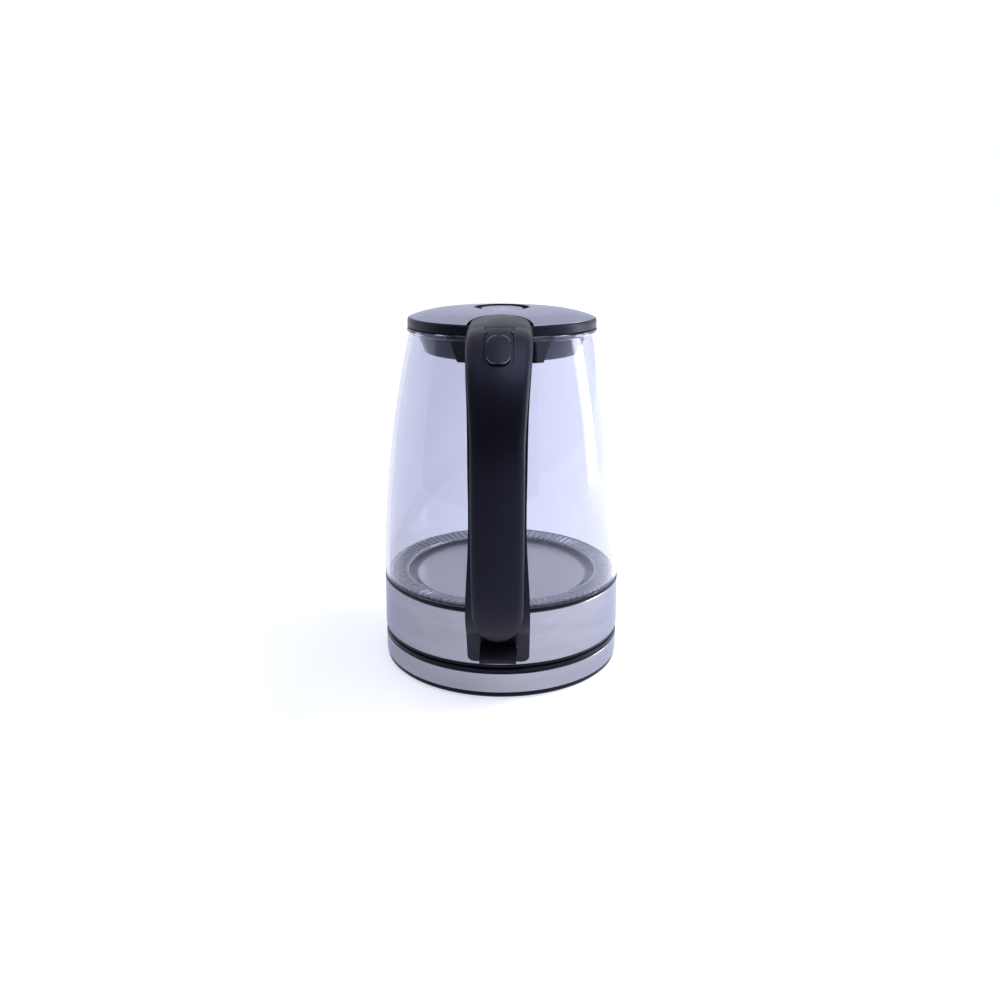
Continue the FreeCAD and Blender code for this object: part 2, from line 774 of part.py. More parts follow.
def tongue_prism():
    """The cover's outline seen along Y: straight sides and a half-round lower end."""
    half, top, waist, low = 30.0, 240.0, 72.0, 49.0
    tongue = d.cover_half.value
    ellipse = Part.Ellipse(Vector(0, 0, low), Vector(tongue, 0, waist), Vector(0, 0, waist))
    end = Part.Arc(ellipse, -math.pi / 2, math.pi / 2).toShape()
    ends = [v.Point for v in end.Vertexes]
    left, right = sorted(ends, key=lambda p: p.x)
    wire = Part.Wire(Part.__sortEdges__([
        end,
        Part.LineSegment(left, Vector(-half, 0, 110)).toShape(),
        Part.LineSegment(Vector(-half, 0, 110), Vector(-half, 0, top)).toShape(),
        Part.LineSegment(Vector(-half, 0, top), Vector(half, 0, top)).toShape(),
        Part.LineSegment(Vector(half, 0, top), Vector(half, 0, 110)).toShape(),
        Part.LineSegment(Vector(half, 0, 110), right).toShape(),
    ]))
    prism = Part.Face(wire).extrude(Vector(0, -100, 0))
    prism.translate(Vector(0, -40, 0))
    return prism


BUTTON_Y = -87.5
BUTTON_DEEP = 3.6
BUTTON_SKIRT = 1.6
BUTTON_TRAVEL = 2.5
SPRING_WELL = 10.5
SPRING_WELL_RADIUS = 3.0
SPRING_WIRE = 0.35
GRIP_ROUND = 5.0
TOOTH_HALF = 4.5
TOOTH_SWEEP = 7.6
LATCH_LOW = (-5.0, -81.0, 201.6)
LATCH_HIGH = (5.0, -74.4, 204.6)
LATCH_TRAVEL = 2.0
FOOT_SCREWS_X = (-14.5, 14.5)
FOOT_SCREW_Z = 46.0
FOOT_SCREW_RADIUS = 1.45
FOOT_SCREW_HEAD_Y = -71.1
BRACKET_SCREWS_X = (-10.0, 10.0)
BRACKET_SCREW_Y = -62.0
PIN_HALF = 13.5


def pill_prism(curve, half, length, reach_in, reach_out, shift=0.0):
    """A bar with well rounded corners through the handle, along the button's line of travel."""
    spot, along, outward = spine_frame(curve, fraction_at(curve, BUTTON_Y))
    spot = spot + along * shift - outward * reach_in
    tall = length / 2
    bend = half * 0.78
    dip = bend * (1 - math.sqrt(0.5))

    def at(x, s):
        return spot + Vector(x, 0, 0) + along * s

    edges = [
        Part.LineSegment(at(bend - half, tall), at(half - bend, tall)).toShape(),
        Part.LineSegment(at(bend - half, -tall), at(half - bend, -tall)).toShape(),
    ]
    for side in (-half, half):
        turn = bend if side < 0 else -bend
        lean = dip if side < 0 else -dip
        edges.append(Part.LineSegment(at(side, bend - tall), at(side, tall - bend)).toShape())
        for end in (-tall, tall):
            down = bend if end < 0 else -bend
            ease = dip if end < 0 else -dip
            corner = Part.Arc(at(side, end + down), at(side + lean, end + ease), at(side + turn, end))
            edges.append(corner.toShape())
    wire = Part.Wire(Part.__sortEdges__(edges))
    return Part.Face(wire).extrude(outward * (reach_in + reach_out))


def bar(radius, half_length, y, z):
    """A round bar along X about the middle plane."""
    return Part.makeCylinder(radius, 2 * half_length, Vector(-half_length, y, z), Vector(1, 0, 0))


def box_between(low, high):
    return Part.makeBox(*[b - a for a, b in zip(low, high)], Vector(*low))


def handle():
    curve = spline(SPINE)
    gap = d.gap.value
    face_half = d.button_half.value
    length = d.button_length.value
    hinge_y, hinge_z = d.hinge_y.value, d.hinge_z.value

    cover = cover_loft(curve).common(tongue_prism())
    barrel_room = d.barrel_half.value + gap
    cover = cover.cut(button_opening(curve, 0.0))
    cover = cover.cut(bar(d.barrel.value + 0.6, barrel_room, hinge_y, hinge_z))
    cover = cover.cut(box_between((-barrel_room, -72.6, 205.0), (barrel_room, -60.0, 230.0)))
    cover = cover.cut(bar(d.hinge_pin_radius.value, PIN_HALF, hinge_y, hinge_z))
    node("handle_grip", shaped("grip", cover.removeSplitter()))

    slab = d.cover_deep.value + 3.0
    raised = cover_loft(curve, d.button_raise.value, slab)
    lower = cover_loft(curve, -0.5, slab)
    face = pill_prism(curve, face_half, length, 8.0, 9.0)
    skirt = button_opening(curve, gap)
    roof = 1.8
    hollow = cover_loft(curve, -roof, slab)
    hollow = hollow.common(pill_prism(curve, face_half - roof, length - 2 * roof, 9.0, 9.0))
    button = raised.common(face).fuse(lower.common(skirt)).cut(hollow)
    button = button.cut(layer(curve, BUTTON_DEEP, slab + 3.0, d.hub_half.value, 0, OUTLINE_STEPS // 2))
    outward = spine_frame(curve, fraction_at(curve, BUTTON_Y))[2]
    for share in (0.0, 0.5, 1.0):
        passed = Vector(0, hinge_y, hinge_z) + outward * (BUTTON_TRAVEL * share)
        button = button.cut(bar(d.barrel.value + gap, barrel_room, passed.y, passed.z))
    node("lid_release_button", shaped("button", button.removeSplitter()))

    node("handle_shell", shaped("shell", shell_shape(curve)))
    springs_and_latch(curve)


def button_opening(curve, clearance):
    """The button's outline with its skirt, through the handle; the button itself is smaller by a gap."""
    half = d.button_half.value + BUTTON_SKIRT - clearance
    length = d.button_length.value + 2 * BUTTON_SKIRT - 2 * clearance
    return pill_prism(curve, half, length, 9.0, 12.0, 1.0)


def shell_outline(curve, inset):
    """Closed outline of the shell in the middle plane, its outer side set in from the cover."""
    outer = []
    for i in range(OUTLINE_STEPS + 1):
        spot, _, outward = spine_frame(curve, i / OUTLINE_STEPS)
        place_at = spot - outward * inset
        outer.append((place_at.y, place_at.z))
    return outer


def shell_shape(curve):
    hub, grip = d.hub_half.value, d.grip_half.value
    deck = d.glass_top.value + 0.1
    outer = shell_outline(curve, d.cover_deep.value + 0.25)
    upper_edge = spline(outer).toShape()
    inner_edge = spline(INNER_FACE).toShape()
    first, last = Vector(0, *outer[0]), Vector(0, *outer[-1])
    inner_top, inner_bottom = Vector(0, *INNER_FACE[0]), Vector(0, *INNER_FACE[-1])
    deck_back = Vector(0, first.y, deck)
    deck_front = Vector(0, -57.0, deck)
    toe = Vector(0, -77.9, d.block_bottom.value)
    heel = Vector(0, -71.0, d.block_bottom.value)
    back = Vector(0, -71.0, INNER_FACE[-1][1])
    corners = [last, toe, heel, back, inner_bottom]
    edges = [upper_edge, inner_edge]
    edges += [Part.LineSegment(a, b).toShape() for a, b in zip(corners, corners[1:])]
    edges.append(Part.LineSegment(inner_top, Vector(0, -57.0, 197.0)).toShape())
    edges.append(Part.LineSegment(Vector(0, -57.0, 197.0), deck_front).toShape())
    edges.append(Part.LineSegment(deck_front, deck_back).toShape())
    edges.append(Part.LineSegment(deck_back, first).toShape())
    face = Part.Face(Part.Wire(Part.__sortEdges__(edges)))
    solid = face.extrude(Vector(2 * hub, 0, 0))
    solid.translate(Vector(-hub, 0, 0))
    solid = rounded_long_edges(solid)

    # Seen along Y the shell is slimmer along the grip than at its hub and foot.
    waist = Part.BSplineCurve()
    upright = Vector(0, 0, -1)
    waist.interpolate(Points=[Vector(hub, 0, 218), Vector(grip + 0.8, 0, 188), Vector(grip, 0, 150),
                              Vector(grip, 0, 115), Vector(hub - 0.6, 0, 80), Vector(hub, 0, 60)],
                      InitialTangent=upright, FinalTangent=upright)
    outside = Part.Wire([
        waist.toShape(),
        Part.LineSegment(Vector(hub, 0, 60), Vector(40, 0, 60)).toShape(),
        Part.LineSegment(Vector(40, 0, 60), Vector(40, 0, 218)).toShape(),
        Part.LineSegment(Vector(40, 0, 218), Vector(hub, 0, 218)).toShape(),
    ])
    prism = Part.Face(outside).extrude(Vector(0, -120, 0))
    prism.translate(Vector(0, -30, 0))
    solid = solid.cut(prism).cut(prism.mirror(Vector(0, 0, 0), Vector(1, 0, 0)))

    # Clear of the glass, inside the lid's hinge and around the button, latch and switch.
    gap = d.gap.value
    lip = d.lip_radius.value + 0.4
    solid = solid.cut(Part.makeCone(lip + 2.9, lip, 24.0, Vector(0, 0, 193.0)))
    hinge_y, hinge_z = d.hinge_y.value, d.hinge_z.value
    half = d.barrel_half.value + gap
    solid = solid.cut(bar(d.barrel.value + 0.6, half, hinge_y, hinge_z))
    solid = solid.cut(box_between((-half, hinge_y, deck + 0.7), (half, -60.0, hinge_z + 1.0)))
    solid = solid.cut(bar(TOOTH_SWEEP, TOOTH_HALF + 0.5, hinge_y, hinge_z))
    pocket = cover_loft(curve, 0.0, BUTTON_DEEP + BUTTON_TRAVEL + 0.5)
    solid = solid.cut(pocket.common(button_opening(curve, 0.0)))
    spot, _, outward = spine_frame(curve, fraction_at(curve, BUTTON_Y))
    well_foot = spot - outward * SPRING_WELL
    solid = solid.cut(Part.makeCylinder(SPRING_WELL_RADIUS, SPRING_WELL, well_foot, outward))
    latch_room = box_between([LATCH_LOW[0] - gap, LATCH_LOW[1] - LATCH_TRAVEL - gap, LATCH_LOW[2] - gap],
                             [LATCH_HIGH[0] + gap, LATCH_HIGH[1] + 2 * LATCH_TRAVEL, LATCH_HIGH[2] + gap])
    solid = solid.cut(latch_room)
    solid = solid.cut(steam_channel(curve))
    solid = solid.cut(switch_room(d.switch_half.value + gap))
    solid = solid.cut(box_between((-3.5, -79.0, 40.0), (3.5, -73.0, 51.5)))
    solid = solid.cut(bar(d.switch_pin_radius.value, 13.0, d.switch_y.value, d.switch_z.value))
    for x in FOOT_SCREWS_X:
        start = Vector(x, -84.0, FOOT_SCREW_Z)
        solid = solid.cut(Part.makeCylinder(FOOT_SCREW_RADIUS, 12.0, start, Vector(0, 1, 0)))
    solid = clear_of_body(solid)
    for x in BRACKET_SCREWS_X:
        solid = solid.cut(Part.makeCylinder(1.15, 8.0, Vector(x, BRACKET_SCREW_Y, 208.0)))
    return solid.removeSplitter()


def clear_of_body(solid):
    """The handle's foot hollowed to the round body behind it, its lower corners rounded."""
    gap = 0.1
    low = d.block_bottom.value
    seam = d.band_top.value - 0.2
    lower = Part.makeCylinder(d.chassis_radius.value + gap, seam - low + 10.0, Vector(0, 0, low - 10.0))
    upper = Part.makeCylinder(d.glass_radius.value + gap, 30.0, Vector(0, 0, seam))
    solid = solid.cut(lower).cut(upper)
    bend = BAND_CORNER - 0.15
    for side in (-1, 1):
        centre = d.hub_half.value - bend
        corner = box_between((centre, -110.0, low - 1.0), (centre + bend + 1.0, -60.0, low + bend))
        kept = Part.makeCylinder(bend, 50.0, Vector(centre, -110.0, low + bend), Vector(0, 1, 0))
        corner = corner.cut(kept)
        if side < 0:
            corner = corner.mirror(Vector(0, 0, 0), Vector(1, 0, 0))
        solid = solid.cut(corner)
    return solid


def switch_room(half):
    """Room for the paddle: its ceiling follows the paddle's top where it shows."""
    corners = [(-101.0, 31.5), (-73.0, 31.5), (-73.0, 43.2), (-81.0, 43.2), (-81.0, 41.85), (-101.0, 38.0)]
    corners.append(corners[0])
    face = Part.Face(Part.makePolygon([Vector(-half, y, z) for y, z in corners]))
    return face.extrude(Vector(2 * half, 0, 0))


def rounded_long_edges(solid):
    """Round the edges that run along the inner face, where the fingers go."""
    picked = []
    for edge in solid.Edges:
        middle = edge.valueAt((edge.FirstParameter + edge.LastParameter) / 2)
        along_grip = edge.Length > 60 and abs(middle.x) > 15 and middle.y > -105
        if along_grip and 90 < middle.z < 190:
            picked.append(edge)
    return solid.makeFillet(GRIP_ROUND, picked) if picked else solid


def layer(curve, shallow, deep, half, first, last):
    """Everything between two depths below the spine, from one of its steps to another."""
    outer = shell_outline(curve, shallow)[first:last + 1]
    inner = shell_outline(curve, deep)[first:last + 1]
    edges = [spline(outer).toShape(), spline(inner).toShape()]
    edges.append(Part.LineSegment(Vector(0, *outer[0]), Vector(0, *inner[0])).toShape())
    edges.append(Part.LineSegment(Vector(0, *outer[-1]), Vector(0, *inner[-1])).toShape())
    face = Part.Face(Part.Wire(Part.__sortEdges__(edges)))
    solid = face.extrude(Vector(2 * half, 0, 0))
    solid.translate(Vector(-half, 0, 0))
    return solid


def steam_channel(curve):
    """The hollow behind the cover that the steam tube runs down."""
    cover = d.cover_deep.value
    return layer(curve, cover - 2.0, cover + 9.5, 11.0, OUTLINE_STEPS // 4, 3 * OUTLINE_STEPS // 4)


def helix_spring(name, radius, wire, pitch, height, at, direction):
    """A coil spring that stands on a point and rises along a direction."""
    path = Part.makeHelix(pitch, height, radius)
    ring = Part.Wire(Part.makeCircle(wire, Vector(radius, 0, 0), Vector(0, 1, 0)))
    coil = Part.Wire(path.Edges).makePipeShell([ring], True, True)
    made = shaped(name, coil)
    made.Placement = Placement(at, Rotation(Vector(0, 0, 1), direction))
    return made


def springs_and_latch(curve):
    """The moving pieces inside the handle, their springs, pins and screws."""
    spot, along, outward = spine_frame(curve, fraction_at(curve, BUTTON_Y))
    spring_foot = spot - outward * (SPRING_WELL - SPRING_WIRE - 0.05)
    node("button_spring", helix_spring("coil", 2.2, SPRING_WIRE, 1.5, 7.6, spring_foot, outward))

    latch = box_between(LATCH_LOW, LATCH_HIGH)
    latch_nose = box_between((-3.0, LATCH_HIGH[1], LATCH_LOW[2]),
                             (3.0, LATCH_HIGH[1] + 1.6, LATCH_HIGH[2] - 1.2))
    node("latch_slider", shaped("latch", latch.fuse(latch_nose).removeSplitter()))

    node("hinge_pin", rod("lid_pin", d.hinge_pin_radius, 2 * PIN_HALF,
                          (-PIN_HALF, d.hinge_y, d.hinge_z), "x"))

    ends = []
    for fraction in (0.27, 0.5, 0.73):
        spot, _, outward = spine_frame(curve, fraction)
        ends.append(spot - outward * (d.cover_deep.value + 4.7))
    path = Part.Wire([Part.Arc(*ends).toShape()])
    start_along = path.Edges[0].tangentAt(path.Edges[0].FirstParameter)
    tube = None
    for radius in (3.0, 2.0):
        ring = Part.Wire(Part.makeCircle(radius, ends[0], start_along))
        pipe = path.makePipeShell([ring], True, False)
        tube = pipe if tube is None else tube.cut(pipe)
    node("steam_tube", shaped("tube", tube))

    foot_screws = []
    for i, x in enumerate(FOOT_SCREWS_X):
        head = rod("foot_screw_head%d" % i, 3.0, 1.6, (x, FOOT_SCREW_HEAD_Y, FOOT_SCREW_Z), "y")
        shank_at = (x, FOOT_SCREW_HEAD_Y - 10.5, FOOT_SCREW_Z)
        shank = rod("foot_screw_shank%d" % i, FOOT_SCREW_RADIUS, 10.5, shank_at, "y")
        foot_screws.append(fused("foot_screw%d" % i, head, shank))
    node("handle_screws", group("foot_screw_set", foot_screws))
    neck_bracket()
    power_switch()


def neck_bracket():
    """The clamp that hooks over the glass lip behind the lid and holds the top of the handle."""
    wall_outer, wall_inner = 54.0, 52.3
    plate = turned("bracket_wall", [
        (wall_inner, 200.0), (wall_outer, 200.0), (wall_outer, 217.8), (wall_inner, 217.8),
    ])
    lower = padded("bracket_front", "XZ", [
        (-24.5, 200.0), (24.5, 200.0), (29.0, 214.0), (14.0, 214.0), (14.0, 217.8),
        (-14.0, 217.8), (-14.0, 214.0), (-29.0, 214.0),
    ], 40.0, 50.0)
    wall = doc.addObject("Part::Common", "bracket_plate")
    wall.Base = plate
    wall.Tool = lower
    bridge = block("bracket_bridge", (-14.0, -62.2, 215.75), (14.0, -52.2, 217.8))
    ears = [block("bracket_ear%d" % i, (x - 4.0, -64.3, 215.75), (x + 4.0, -60.0, 217.8))
            for i, x in enumerate(BRACKET_SCREWS_X)]
    holes = [rod("bracket_hole%d" % i, 1.3, 6.0, (x, BRACKET_SCREW_Y, 213.5))
             for i, x in enumerate(BRACKET_SCREWS_X)]
    solid = fused("bracket_solid", wall, bridge, *ears)
    node("neck_bracket", cut("bracket", solid, *holes))
    screws = []
    for i, x in enumerate(BRACKET_SCREWS_X):
        at = (x, BRACKET_SCREW_Y, 218.4)
        screws.append(screw("bracket_screw%d" % i, 2.0, 1.15, 0.6, 9.0, at, up=-1))
    node("bracket_screws", group("bracket_screw_set", screws))


def power_switch():
    """The paddle under the handle's tongue, its pin and the link it lifts."""
    half = d.switch_half.value
    y, z = d.switch_y.value, d.switch_z.value
    blade = Part.Face(Part.makePolygon([
        Vector(-half, -81.5, 41.4), Vector(-half, -98.6, 38.1), Vector(-half, -99.3, 37.2),
        Vector(-half, -99.0, 35.0), Vector(-half, -98.2, 34.4), Vector(-half, -81.5, 35.8),
        Vector(-half, -81.5, 41.4),
    ])).extrude(Vector(2 * half, 0, 0))
    hub = bar(3.0, half, y, z)
    arm = box_between((-4.0, y, z - 2.0), (4.0, -75.6, z + 1.0))
    paddle = blade.fuse(hub).fuse(arm).removeSplitter()
    paddle = paddle.cut(bar(d.switch_pin_radius.value + d.fit.value, half + 1, y, z))
    node("power_switch", shaped("paddle", paddle))
    node("switch_pin", rod("paddle_pin", d.switch_pin_radius, 25.6, (-12.8, d.switch_y, d.switch_z), "x"))
    post = block("link_post", (-3.0, -78.6, 40.2), (3.0, -76.2, 48.5))
    arm_in = block("link_arm", (-3.0, -78.6, 45.8), (3.0, -21.0, 48.5))
    tip = block("link_tip", (-3.0, -25.0, 44.9), (3.0, -21.0, 48.5))
    node("switch_link", fused("link", post, arm_in, tip))


# ---------------------------------------------------------------- lid

DECK_BOTTOM = 218.5
DECK_TOP = 220.5
BOWL_BEND = 2.6
LID_SCREW_RING = 40.0
LID_SCREW_ANGLES = (0, 120, 240)


def lid():
    sheet_cap = d.cap_sheet
    cap = turned("cap", [
        (0, d.cap_top - sheet_cap),
        (38.0, d.cap_top - 1.85 - sheet_cap, -78.0),
        (d.cap_radius - 0.25, d.cap_edge - sheet_cap),
        (d.cap_radius, d.cap_edge - sheet_cap + 0.15),
        (d.cap_radius, d.cap_edge - 0.1),
        (d.cap_radius - 0.1, d.cap_edge, 78.0),
        (38.0, d.cap_top - 1.85, 390.0),
        (0, d.cap_top),
    ])
    notch = rod("cap_notch", d.notch_radius, 20.0, (0, d.notch_y, 212.0))
    oval = upright_oval("cap_oval", oval_corners(0.0), 210.0, 232.0)
    node("lid_steel_cap", cut("cap_cut", cap, notch, oval))

    rim = turned("rim", [
        (0, DECK_BOTTOM),
        (52.0, DECK_BOTTOM),
        (52.0, d.lid_bottom),
        (d.lid_radius - 0.35, d.lid_bottom),
        (d.lid_radius, d.lid_bottom + 0.4),
        (d.lid_radius - 0.05, d.cap_edge - 2.2, 2.4),
        (d.cap_radius + 0.35, d.cap_edge - 0.25),
        (d.cap_radius + 0.05, d.cap_edge - 0.25),
        (d.cap_radius + 0.05, d.cap_edge - d.cap_sheet - 0.1),
        (54.0, d.cap_edge - d.cap_sheet - 0.1),
        (54.0, DECK_TOP),
        (0, DECK_TOP),
    ])
    node("lid_rim", hinged_rim(rim))

    well_floor = 225.4
    bezel_outer = upright_oval("bezel_outer", oval_corners(0.1), DECK_TOP + 0.05, 228.0)
    bezel_well = upright_oval("bezel_well", oval_corners(1.0), well_floor, 230.0)
    bezel_trim = doc.addObject("Part::Common", "bezel_dome")
    bezel_trim.Base = bezel_outer
    bezel_trim.Tool = dome_under("bezel_dome_form", 0.1)
    node("lid_bezel", cut("bezel", bezel_trim, bezel_well))
    node("lid_insert", upright_oval("insert", oval_corners(d.recess_ring), well_floor, d.insert_top))

    wall = 1.8
    top = d.bowl_radius
    floor = d.bowl_bottom
    flange_inner = LID_SCREW_RING - 2.0
    bowl = turned("bowl_form", [
        (0, floor),
        (top - 5.9, floor, BOWL_BEND),
        (top - 3.7, floor + 1.6),
        (top, floor + 11.0),
        (top, DECK_BOTTOM - 0.1),
        (flange_inner, DECK_BOTTOM - 0.1),
        (flange_inner, DECK_BOTTOM - 1.6),
        (top - wall, DECK_BOTTOM - 1.6),
        (top - wall, floor + 11.4),
        (top - 5.3, floor + 2.4, -1.0),
        (top - 6.2, floor + wall),
        (0, floor + wall),
    ])
    seal = turned("lid_seal_ring", [
        (top + 0.02, 213.1), (53.4, 213.6), (53.8, 214.3), (53.4, 215.0), (top + 0.02, 215.5),
    ])
    seal_gap = block("seal_gap", (-31.0, -60.0, 205.0), (31.0, -42.0, 218.0))
    node("lid_seal", cut("seal_cut", seal, seal_gap))
    screws = []
    pilots = []
    for i, angle in enumerate(LID_SCREW_ANGLES):
        x, y = around(LID_SCREW_RING, angle)
        screws.append(screw("lid_screw%d" % i, 2.6, 1.2, 1.2, 5.0, (x, y, DECK_TOP + 1.25), up=-1))
        pilots.append(rod("lid_pilot%d" % i, 1.25, 4.0, (x, y, DECK_BOTTOM - 3.0)))
    node("lid_screws", group("lid_screw_set", screws))
    node("lid_plug", cut("bowl", bowl, *pilots))


def oval_corners(less):
    """An oval of four arcs, smaller than the recess by a set margin all round."""
    half_x = d.recess_x - less
    half_y = d.recess_y - less
    end_x, end_y = half_x * 0.6, half_y * 0.75
    front_bow = bow_of(end_x.value, half_y.value - end_y.value)
    side_bow = bow_of(end_y.value, half_x.value - end_x.value)
    low, high = d.recess_shift - end_y, d.recess_shift + end_y
    return [(-end_x, low, front_bow), (end_x, low, side_bow),
            (end_x, high, front_bow), (-end_x, high, side_bow)]


def bow_of(half_chord, rise):
    """Radius of the arc with a given half chord and rise."""
    return (half_chord ** 2 + rise ** 2) / (2 * rise)


def upright_oval(name, corners, low, high):
    """An oval bar that stands between two heights."""
    return padded(name, "XY", corners, high - low, (plain(high) + plain(low)) / 2)


def dome_under(name, below):
    """Everything under the steel cap's outer face, lowered a little."""
    return turned(name, [
        (0, 200.0),
        (d.cap_radius, 200.0),
        (d.cap_radius, d.cap_edge - below, 78.0),
        (38.0, d.cap_top - 1.85 - below, 390.0),
        (0, d.cap_top - below),
    ])


# Middle line of the hinge tab's top, (y, z), from the notch in the cap back to the barrel.
TAB_TOP = [(-37.0, 226.5), (-47.0, 225.7), (-57.0, 224.4), (-65.0, 223.0), (-69.3, 221.6)]
TAB_BOTTOM = 216.6


def tab_section(y, top):
    half = d.hub_half.value
    crown = d.cover_crown.value
    spot = Vector(0, y, top)
    return crowned_section(spot, Vector(0, 0, 1), half, 0.0, top - TAB_BOTTOM, crown)


def hinged_rim(rim):
    """The lid's black moulding: rim and deck, the tab behind the cap and the hinge barrel."""
    doc.recompute()
    hinge_y, hinge_z = d.hinge_y.value, d.hinge_z.value
    sections = [tab_section(y, top) for y, top in TAB_TOP]
    tab = Part.makeLoft(sections, True, False)
    notch = Part.makeCylinder(d.notch_radius.value - 0.15, 20.0, Vector(0, d.notch_y.value, 212.0))
    behind = box_between((-30, -80, 212), (30, d.notch_y.value, 232))
    tab = tab.common(notch.fuse(behind))
    barrel = bar(d.barrel.value, d.barrel_half.value, hinge_y, hinge_z)
    knuckle_room = box_between((-30, -80, 200), (-d.barrel_half.value, -64.3, 232))
    tab = tab.cut(knuckle_room)
    knuckle_room.translate(Vector(30 + d.barrel_half.value, 0, 0))
    tab = tab.cut(knuckle_room)
    tooth = box_between((-TOOTH_HALF, hinge_y - 1.2, 213.0), (TOOTH_HALF, hinge_y + 1.2, hinge_z))
    solid = rim.Shape.fuse(tab).fuse(barrel).fuse(tooth)
    solid = solid.cut(box_between((-14.6, -66.6, 212.0), (14.6, -47.0, DECK_BOTTOM)))
    solid = solid.cut(Part.makeCylinder(d.bowl_radius.value + 0.1, 6.5, Vector(0, 0, DECK_BOTTOM - 6.5)))
    solid = solid.cut(bar(d.hinge_pin_radius.value + d.fit.value, 30, hinge_y, hinge_z))
    for angle in LID_SCREW_ANGLES:
        x, y = around(LID_SCREW_RING, angle)
        solid = solid.cut(Part.makeCylinder(1.25, 6.0, Vector(x, y, DECK_BOTTOM - 2.0)))
    return shaped("rim_and_tab", solid.removeSplitter())


power_base()
kettle_bottom()
glass_jug()
handle()
lid()
doc.recompute()

# ---------------------------------------------------------------- checks and export

faults = []
for thing in doc.Objects:
    if "Invalid" in thing.State or "Error" in thing.State:
        faults.append("%s is %s" % (thing.Label, thing.State))
for name, thing in nodes.items():
    if thing.Shape.isNull() or not thing.Shape.isValid() or not thing.Shape.Solids:
        faults.append("%s has no valid solid" % name)
if faults:
    raise RuntimeError("; ".join(faults))
for name, thing in nodes.items():
    thing.Shape.exportStep("parts/%s.step" % name)
    print(name, len(thing.Shape.Solids), round(thing.Shape.Volume))
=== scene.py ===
import json
import math

import bmesh
import bpy
from mathutils import Matrix, Vector
from mathutils.bvhtree import BVHTree


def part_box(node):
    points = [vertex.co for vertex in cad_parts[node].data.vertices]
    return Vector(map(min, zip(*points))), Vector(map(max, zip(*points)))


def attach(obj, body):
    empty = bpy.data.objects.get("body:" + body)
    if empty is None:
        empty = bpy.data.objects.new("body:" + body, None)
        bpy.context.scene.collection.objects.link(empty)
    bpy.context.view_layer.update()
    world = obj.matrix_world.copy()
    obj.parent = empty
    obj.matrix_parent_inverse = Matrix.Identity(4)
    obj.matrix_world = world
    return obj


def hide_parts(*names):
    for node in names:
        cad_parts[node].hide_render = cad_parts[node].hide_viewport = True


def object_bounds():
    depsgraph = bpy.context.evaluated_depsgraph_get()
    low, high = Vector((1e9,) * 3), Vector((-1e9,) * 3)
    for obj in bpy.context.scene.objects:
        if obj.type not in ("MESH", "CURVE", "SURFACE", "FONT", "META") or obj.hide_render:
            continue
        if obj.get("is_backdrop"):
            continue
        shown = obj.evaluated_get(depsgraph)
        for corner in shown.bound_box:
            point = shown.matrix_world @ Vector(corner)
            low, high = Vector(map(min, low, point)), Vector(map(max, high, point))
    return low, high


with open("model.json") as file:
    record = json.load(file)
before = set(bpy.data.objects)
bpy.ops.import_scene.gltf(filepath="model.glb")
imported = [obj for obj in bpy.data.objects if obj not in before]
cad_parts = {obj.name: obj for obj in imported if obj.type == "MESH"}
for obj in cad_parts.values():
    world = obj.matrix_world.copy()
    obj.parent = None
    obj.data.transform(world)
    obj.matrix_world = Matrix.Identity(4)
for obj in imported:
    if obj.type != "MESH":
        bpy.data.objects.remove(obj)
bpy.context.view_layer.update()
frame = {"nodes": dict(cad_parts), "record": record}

NODES = frame["nodes"]
MM = 0.001

# how much the plastics mirror, and the colours that mirrored light takes
DULL = 0.18
COOL_SHEEN = (0.58, 0.61, 1.0, 1.0)
STEEL_SHEEN = (0.75, 0.76, 0.86, 1.0)
GLASS_SHEEN = (0.50, 0.52, 0.62, 1.0)

JUG_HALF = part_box("glass_jug")[1][0]
PLATE_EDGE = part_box("heating_plate")[1][0]
PLATE_FLAT = PLATE_EDGE - 5.7 * MM

# the clear ring: each rib is cut at these shares of its rise, once around every rib
RIBS = 96
RIB_SAMPLES = (0.0, 0.75, 1.0, 1.0, 0.75, 0.0, 0.0, 0.0)
RIB_RISE = 0.9 * MM
RING_WIDTH = 12.4 * MM
TOOTH_DEPTH = 0.55 * MM
# share of the colour's brightness kept in the painted shade between the ribs
VALLEY_SHADE = 0.70

# lines laid on the handle
LINE_LIFT = 0.05 * MM
ICON_Z = 0.2000
ICON_WIDTH = 3.5 * MM
ICON_LINE = 0.38 * MM
BEVEL_LINE = 0.40 * MM
BEVEL_INSET = 1.35 * MM
BEVEL_CORNER = 4.2 * MM
BEVEL_FOOT = 5.6 * MM
BEVEL_HEAD = 2.9 * MM

SKY = (1.0, 1.02, 1.15)
FLOOR_WIDTH = 12.0
# (x in metres, glow) at the two ends of the light table's ramp
FLOOR_DIM = (-0.12, 0.50)
FLOOR_BRIGHT = (0.30, 1.15)

# the camera circles the kettle at this reach and height, in metres and degrees
CAMERA_REACH = 0.593
CAMERA_HEIGHT = 0.280
CAMERA_ORBIT = 1.15
CAMERA_TILT = 90.0 - 16.59
CAMERA_ROLL = 0.16
CAMERA_LENS = 34.16
CAMERA_SHIFT_X = -0.0016


# ---------------------------------------------------------------- node materials

